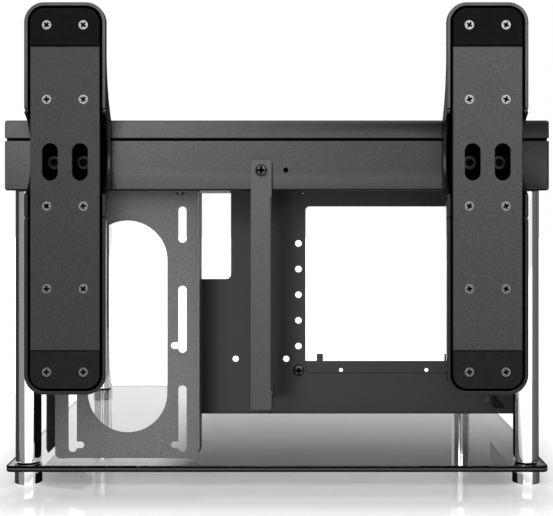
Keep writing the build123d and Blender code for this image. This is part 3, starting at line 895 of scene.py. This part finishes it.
@dataclass
class Legs:
    """Cast legs with face plates, pads, screws, bolts and nuts."""

    cast_edge: float = 0.7 * MM
    reach: tuple = (0.0928, 0.4438)
    rim_wall: float = 3.4 * MM
    rim_gap: float = 2.1 * MM
    rim_corner: float = 14.6 * MM
    rim_tolerance: float = 0.2 * MM
    front_depth: float = 0.3 * MM
    bolt_shade: float = 0.8
    plate_edge: float = 0.2 * MM

    def build(self) -> None:
        """Ease every cast and cut edge, paint shade within the rims and on the bolts, and set the fasteners.
        """
        for side in SIDES:
            body = eased_copy(f"leg_body_{side}", self.cast_edge)
            low, high = (np.array(corner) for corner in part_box(f"leg_plate_{side}"))
            # Painted shade: the faces within each rim, groove, floor and slots, are black.
            set_shade(body.data, self.inside(face_values(body.data, "center"), low, high))
            eased_copy(f"leg_plate_{side}", self.plate_edge)
            for level in ("upper", "lower"):
                dress(f"leg_pad_{level}_{side}")
        plate_screw = Screw(Head.COUNTERSUNK, Drive.CROSS, 4.4 * MM, 2.4 * MM, 2.0 * MM, 5.6 * MM)
        for node in ("leg_plate_screws", "leg_pad_screws"):
            screw_group(node, plate_screw, (0, 1, 0))
        bolt = Screw(Head.CAP, Drive.HEXAGON, 6.5 * MM, 8.0 * MM, 4.0 * MM, 17.7 * MM, 1.25 * MM)
        # The bolts deep in the slots get painted shade all over.
        screw_group("leg_bolts", bolt, (0, 1, 0), self.bolt_shade)
        dress("leg_nuts")

    def inside(self, centres: np.ndarray, low: np.ndarray, high: np.ndarray) -> np.ndarray:
        """Tell which faces of a leg's body lie within its rim.

        A place is inside if its signed distance from the rim's inner outline,
        a rectangle with rounded corners, is negative:
        |max(q, 0)| + min(max(qx, qz), 0) - r, with q = |p - middle| - (half - r).

        Args:
            centres: Array (faces, 3) of face centres.
            low: Lowest corner of the face plate's box.
            high: Highest corner of the face plate's box.

        Returns:
            1 for faces within the rim and 0 for the rest.
        """
        bottom, top = self.reach
        middle = np.array([(low[0] + high[0]) / 2, (bottom + top) / 2])
        half = np.array([(high[0] - low[0]) / 2 + self.rim_gap, (top - bottom) / 2 - self.rim_wall])
        apart = np.abs(centres[:, [0, 2]] - middle) - (half - self.rim_corner)
        outside = np.linalg.norm(np.maximum(apart, 0), axis=1)
        distance = outside + np.minimum(apart.max(1), 0) - self.rim_corner
        behind = centres[:, 1] > low[1] + self.front_depth
        return (behind & (distance < self.rim_tolerance)).astype(float)


@dataclass
class Hangers:
    """Fan bracket, board tray, rail, strap and what holds them."""

    edge: float = 0.25 * MM
    flange_reach: float = 2.0 * MM
    flange_shade: float = 0.8
    cut_area: float = 600 * MM * MM
    cut_shade: float = 0.85

    def build(self) -> None:
        """Ease the sheet pieces, paint shade on the bracket's side flange and on their cut edges, and set
        their screws.
        """
        bracket = eased_copy("fan_bracket", self.edge)
        # Painted shade on the bracket's side flange.
        flange = face_values(bracket.data, "center")[:, 0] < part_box("fan_bracket")[0][0] + self.flange_reach
        set_shade(bracket.data, flange * self.flange_shade)
        for node in ("board_tray", "support_rail", "brace_strap"):
            sheet = eased_copy(node, self.edge)
            # Painted shade on the narrow cut edges of the sheets.
            sideways = np.abs(face_values(sheet.data, "normal")[:, 1]) < 0.5
            narrow = face_values(sheet.data, "area")[:, 0] < self.cut_area
            set_shade(sheet.data, (sideways & narrow) * self.cut_shade)
        for node in ("corner_gusset", "corner_nut", "board_standoffs"):
            eased_copy(node, self.edge)
        hanger = Screw(Head.PAN, Drive.CROSS, 3.8 * MM, 2.4 * MM, 2.0 * MM, 7.0 * MM)
        screw_group("hanger_screws", hanger, (0, 0, 1))
        pan = Screw(Head.PAN, Drive.CROSS, 5.5 * MM, 3.0 * MM, 2.5 * MM, 6.0 * MM)
        for node in ("rail_screws", "strap_screws"):
            screw_group(node, pan, (0, 1, 0))


@dataclass(frozen=True)
class Lamp:
    """Soft square lamp that polished surfaces don't show, for every piece or for some."""

    name: str
    spot: tuple
    size: float
    power: float
    target: tuple = (0.0, 0.0, 0.2)
    only: tuple = ()
    without: tuple = ()

    def hang(self) -> None:
        """Put the lamp at its spot, facing its target."""
        light = bpy.data.lights.new(self.name, "AREA")
        light.shape = "SQUARE"
        light.size = self.size
        light.energy = self.power
        lamp = bpy.data.objects.new(self.name, light)
        aim = np.array(self.target) - np.array(self.spot)
        lamp.location = self.spot
        lamp.rotation_euler = (math.atan2(math.hypot(aim[0], aim[1]), -aim[2]), 0,
                               math.atan2(aim[1], aim[0]) - math.pi / 2)
        lamp.visible_glossy = False
        bpy.context.scene.collection.objects.link(lamp)

    def restrict(self) -> None:
        """Let the lamp light only the pieces that it is meant for, or all but those that it leaves out."""
        nodes = self.only or self.without
        if not nodes:
            return
        lit = bpy.data.collections.new(f"{self.name}_lit")
        for piece in list(bpy.data.objects):
            if piece.name.startswith(nodes):
                lit.objects.link(piece)
        for member in lit.collection_objects:
            member.light_linking.link_state = "INCLUDE" if self.only else "EXCLUDE"
        bpy.data.objects[self.name].light_linking.receiver_collection = lit


@dataclass(frozen=True)
class UprightCard:
    """Glowing card between two points of the floor that only glossy rays meet, a painted reflection, even or
    with a gradient along its height.
    """

    name: str
    ends: tuple
    grey: float
    low: float = 2 * MM
    high: float = 1.2
    top_grey: float | None = None

    def outline(self) -> list:
        """Corners of the card, from its lower edge to its upper one."""
        (x0, y0), (x1, y1) = self.ends
        return [(x0, y0, self.low), (x1, y1, self.low), (x1, y1, self.high), (x0, y0, self.high)]


@dataclass(frozen=True)
class FloorCard:
    """Glowing card on the floor beside a round foot, which follows the rays that the foot turns away: a
    painted reflection in the foot.
    """

    name: str
    middle: tuple
    turn: tuple
    grey: float
    reach: float
    foot_reach: float = 12.75 * MM
    lift: float = 0.6 * MM
    top_grey: None = None

    def outline(self) -> list:
        """Corners of the card.

        A ray that leaves in direction a, counted from the front, was turned at
        the foot's surface where its normal is halfway between a and the
        direction v of the camera: (a + v) / 2.

        Returns:
            Points along the foot, and back along the card's far side.
        """
        away = np.radians(np.linspace(*self.turn, 16))
        view = math.atan2(CAMERA_SPOT[0] - self.middle[0], self.middle[1] - CAMERA_SPOT[1])
        normal = (away + view) / 2
        near = np.stack([np.sin(normal), -np.cos(normal)], axis=1) * self.foot_reach + np.array(self.middle)
        far = near + np.stack([np.sin(away), -np.cos(away)], axis=1) * self.reach
        return [(x, y, self.lift) for x, y in np.concatenate([near, far[::-1]]).tolist()]


LAMPS = (
    Lamp("key", (-0.35, -1.4, 1.7), 1.1, 21.0, without=HOUSING),
    Lamp("top", (0.2, 0.2, 1.9), 1.6, 16.8, without=HOUSING),
    Lamp("bracket_low", (-0.13, -0.42, 0.04), 0.16, 1.5, (-0.14, -0.17, 0.06), ("fan_bracket",)),
    Lamp("strap_high", (-0.1, -0.7, 0.42), 0.3, 3.6, (-0.06, -0.16, 0.27), ("fan_bracket", "brace_strap")),
    Lamp("housing_left", (-0.2, -0.47, 0.45), 0.12, 1.9, (-0.12, -0.19, 0.31), HOUSING),
    Lamp("plate_right", (0.4, -0.7, 0.75), 0.3, 2.9, (0.19, -0.22, 0.46),
         ("leg_plate_right", "leg_body_right")),
    Lamp("tray_low", (-0.12, -0.55, 0.04), 0.1, 2.4, (0.1, -0.125, 0.03), TRAY),
    Lamp("tray_high", (-0.17, -0.6, 0.5), 0.1, 2.7, (0.05, -0.125, 0.05), TRAY),
    Lamp("pads_low", (0.0, -0.75, 0.06), 0.3, 6.5, (0.0, -0.22, 0.07),
         ("leg_pad_lower_left", "leg_pad_lower_right")),
)
LEFT_FOOT, RIGHT_FOOT, FAR_LEFT_FOOT = (-0.2355, -0.168), (0.2355, -0.168), (-0.2355, 0.202)
# Glowing cards that only glossy rays meet: painted reflections, bright and dark, on the chrome, glass, screws
# and paint. They give no diffuse light.
REFLECTION_CARDS = (
    UprightCard("bright_card", ((-0.8, -1.3), (0.9, -1.3)), 9.0, 0.42, 1.3),
    UprightCard("backdrop_card", ((-0.31, 1.5), (2.0, 1.5)), 0.03, 0.46, 1.6),
    UprightCard("backdrop_card_low", ((-0.31, 1.5), (2.0, 1.5)), 0.95, 0.29, 0.46, 0.03),
    UprightCard("inner_card_left", ((-0.219, -0.181), (-0.219, -0.08)), 0.004, 0.022, 0.27),
    UprightCard("dark_card_left", ((-0.33, -0.195), (-0.36, 0.24)), 0.05),
    UprightCard("grey_card_left", ((-0.33, -0.195), (-0.42, -0.65)), 0.31),
    UprightCard("grey_card_far_left", ((-0.42, -0.65), (-0.6, -1.2)), 0.31),
    UprightCard("inner_card_right", ((0.219, -0.169), (0.219, -0.08)), 0.004, 0.022, 0.27),
    UprightCard("grey_card_right", ((0.33, -0.19), (0.6, -0.54)), 0.15),
    UprightCard("grey_card_side_right", ((0.33, -0.19), (0.35, -0.075)), 0.12),
    UprightCard("dark_card_right", ((0.35, -0.075), (0.36, 0.24)), 0.04),
    FloorCard("floor_card_0", LEFT_FOOT, (-165, -74), 0.05, 0.45),
    FloorCard("floor_card_1", LEFT_FOOT, (-74, -21), 0.31, 0.45),
    FloorCard("floor_card_2", LEFT_FOOT, (71, 195), 0.004, 0.05),
    FloorCard("floor_card_3", RIGHT_FOOT, (44, 80), 0.15, 0.45),
    FloorCard("floor_card_4", RIGHT_FOOT, (80, 125), 0.1, 0.45),
    FloorCard("floor_card_5", RIGHT_FOOT, (125, 166), 0.04, 0.45),
    FloorCard("floor_card_6", RIGHT_FOOT, (-193, -87), 0.004, 0.05),
    FloorCard("floor_card_7", RIGHT_FOOT, (-87, -36), 0.3, 0.05),
    FloorCard("floor_card_8", FAR_LEFT_FOOT, (-160, 190), 0.8, 0.06),
)


@dataclass
class Studio:
    """Plain pale floor, soft lights, white background and the camera."""

    world_light: float = 0.23
    lens: float = 65.1
    sensor: float = 36.0
    shift: tuple = (-0.0298, -0.105)
    floor_half: float = 6.0
    floor_grey: float = 0.62
    footprint: tuple = (0.2, 0.2, 0.0)
    shadow_reach: tuple = (0.012, 0.136)
    shadow_levels: tuple = (0.2, 1.0)
    glass_depth: tuple = (-0.08, 0.2)
    glass_shadow_levels: tuple = (0.0, 0.6)
    light_side: tuple = (-0.125, -0.085)
    light_level: float = 1.2

    def build(self) -> None:
        """Set up the view, the world, the floor, the lamps and the cards that paint reflections."""
        scene = bpy.context.scene
        scene.view_settings.view_transform = "Standard"
        self.camera(scene)
        self.world(scene)
        self.floor()
        for lamp in LAMPS:
            lamp.hang()
        for card in REFLECTION_CARDS:
            self.show(card)

    def camera(self, scene: bpy.types.Scene) -> None:
        """Level camera at the photograph's place, with its lens and shift.

        Args:
            scene: Scene that gets the camera.
        """
        lens = bpy.data.cameras.new("camera")
        lens.sensor_fit = "HORIZONTAL"
        lens.sensor_width = self.sensor
        lens.lens = self.lens
        lens.shift_x, lens.shift_y = self.shift
        camera = bpy.data.objects.new("camera", lens)
        camera.location = CAMERA_SPOT
        camera.rotation_euler = (math.radians(90), 0, 0)
        scene.collection.objects.link(camera)
        scene.camera = camera

    def world(self, scene: bpy.types.Scene) -> None:
        """White for the camera, reflections and glass; softer for the light on the object.

        Args:
            scene: Scene that gets the world.
        """
        world = bpy.data.worlds.new("studio_world")
        scene.world = world
        world.use_nodes = True
        tree = world.node_tree
        tree.nodes.clear()
        output = tree.nodes.new("ShaderNodeOutputWorld")
        mix = tree.nodes.new("ShaderNodeMixShader")
        tree.links.new(seen_directly(tree), mix.inputs[0])
        for socket, strength in zip(mix.inputs[1:3], (self.world_light, 1.0)):
            light = tree.nodes.new("ShaderNodeBackground")
            light.inputs["Color"].default_value = (1, 1, 1, 1)
            light.inputs["Strength"].default_value = strength
            tree.links.new(light.outputs[0], socket)
        tree.links.new(mix.outputs[0], output.inputs["Surface"])

    def floor(self) -> None:
        """Glossy white floor that fades into the white background away from the bench.

        Its glow follows the distance d from the bench's footprint, a
        rectangle of half size f: d = |max(|p| - f, 0)|. The lower glow near
        the bench is a painted shadow.
        """
        half = self.floor_half
        nodes = self.sheet("floor", [(-half, -half, 0), (half, -half, 0), (half, half, 0), (-half, half, 0)])
        nodes.set(Base_Color=(*(self.floor_grey,) * 3, 1), Roughness=0.08, Specular_IOR_Level=0.6)
        away = nodes.place
        for operation, amounts in (("ABSOLUTE", None), ("SUBTRACT", self.footprint), ("MAXIMUM", (0, 0, 0)),
                                   ("LENGTH", None)):
            step = nodes.add("ShaderNodeVectorMath", operation=operation)
            nodes.link(away, step.inputs[0])
            if amounts:
                step.inputs[1].default_value = amounts
            away = step.outputs["Value" if operation == "LENGTH" else "Vector"]
        # Painted shadow: less glow near the bench, and a painted light and shadow pattern seen through the
        # glass.
        level = self.painted_shadow_under_glass(nodes, nodes.remap(away, self.shadow_reach, self.shadow_levels))
        glow = nodes.add("ShaderNodeMath", operation="MULTIPLY")
        nodes.link(seen_directly(nodes.tree), glow.inputs[0])
        nodes.link(level, glow.inputs[1])
        nodes.link(glow.outputs[0], nodes.shader.inputs["Emission Strength"])

    def painted_shadow_under_glass(self, nodes: Nodes, level: bpy.types.NodeSocket) -> bpy.types.NodeSocket:
        """Brightness of the floor as the glass shows it: painted light at the left, painted shadow darker to
        the right front.

        Args:
            nodes: Nodes of the floor's material.
            level: Brightness of the floor without the glass.

        Returns:
            The brightness for every kind of ray.
        """
        spot = nodes.add("ShaderNodeSeparateXYZ")
        nodes.link(nodes.place, spot.inputs[0])
        depth = nodes.remap(spot.outputs["Y"], self.glass_depth, self.glass_shadow_levels)
        left = nodes.remap(spot.outputs["X"], self.light_side, (1, 0))
        pattern = nodes.blend(left, depth, self.light_level)
        return nodes.blend(nodes.add("ShaderNodeLightPath").outputs["Is Transmission Ray"], level, pattern)

    def show(self, card: UprightCard | FloorCard) -> None:
        """Make a flat glowing card that only glossy rays meet, as a painted reflection.

        Args:
            card: The card's place and brightness.
        """
        corners = card.outline()
        nodes = self.sheet(card.name, corners)
        nodes.set(Base_Color=(0, 0, 0, 1), Specular_IOR_Level=0.0, Emission_Strength=card.grey)
        if card.top_grey is not None:
            height = nodes.add("ShaderNodeSeparateXYZ")
            nodes.link(nodes.place, height.inputs[0])
            span = (corners[0][2], corners[-1][2])
            fade = nodes.remap(height.outputs["Z"], span, (card.grey, card.top_grey))
            nodes.link(fade, nodes.shader.inputs["Emission Strength"])
        for ray in ("camera", "diffuse", "transmission", "volume_scatter", "shadow"):
            setattr(bpy.data.objects[card.name], f"visible_{ray}", False)

    def sheet(self, name: str, corners: list) -> Nodes:
        """Flat face of the stage, whose white glow is still to be set.

        Args:
            name: Name of the object and its material.
            corners: Its corners in order.

        Returns:
            Nodes of its material.
        """
        mesh = bpy.data.meshes.new(name)
        mesh.from_pydata(corners, [], [tuple(range(len(corners)))])
        sheet = bpy.data.objects.new(name, mesh)
        bpy.context.scene.collection.objects.link(sheet)
        material = bpy.data.materials.new(f"{name}_paper")
        nodes = Nodes(material)
        nodes.set(Emission_Color=(1, 1, 1, 1))
        mesh.materials.append(material)
        return nodes


def seen_directly(tree: bpy.types.NodeTree) -> bpy.types.NodeSocket:
    """Tell the rays that see a surface as it is from those that light the object.

    Args:
        tree: Tree that gets the nodes.

    Returns:
        Socket with 1 for camera, glossy and transmission rays, and 0 for the rest.
    """
    path = tree.nodes.new("ShaderNodeLightPath")
    total = path.outputs["Is Camera Ray"]
    for name in ("Is Glossy Ray", "Is Transmission Ray"):
        larger = tree.nodes.new("ShaderNodeMath")
        larger.operation = "MAXIMUM"
        tree.links.new(total, larger.inputs[0])
        tree.links.new(path.outputs[name], larger.inputs[1])
        total = larger.outputs[0]
    return total


def main() -> None:
    """Build the studio and the bench's pieces in order, then limit each lamp to its pieces."""
    logging.basicConfig(level=logging.INFO, format="%(name)s: %(message)s")
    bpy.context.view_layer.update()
    for section in (Studio(), GlassBase(), Pillars(), Housing(), Legs(), Hangers()):
        section.build()
        LOG.info("finished %s", type(section).__name__)
    for lamp in LAMPS:
        lamp.restrict()


if __name__ == "__main__":
    main()
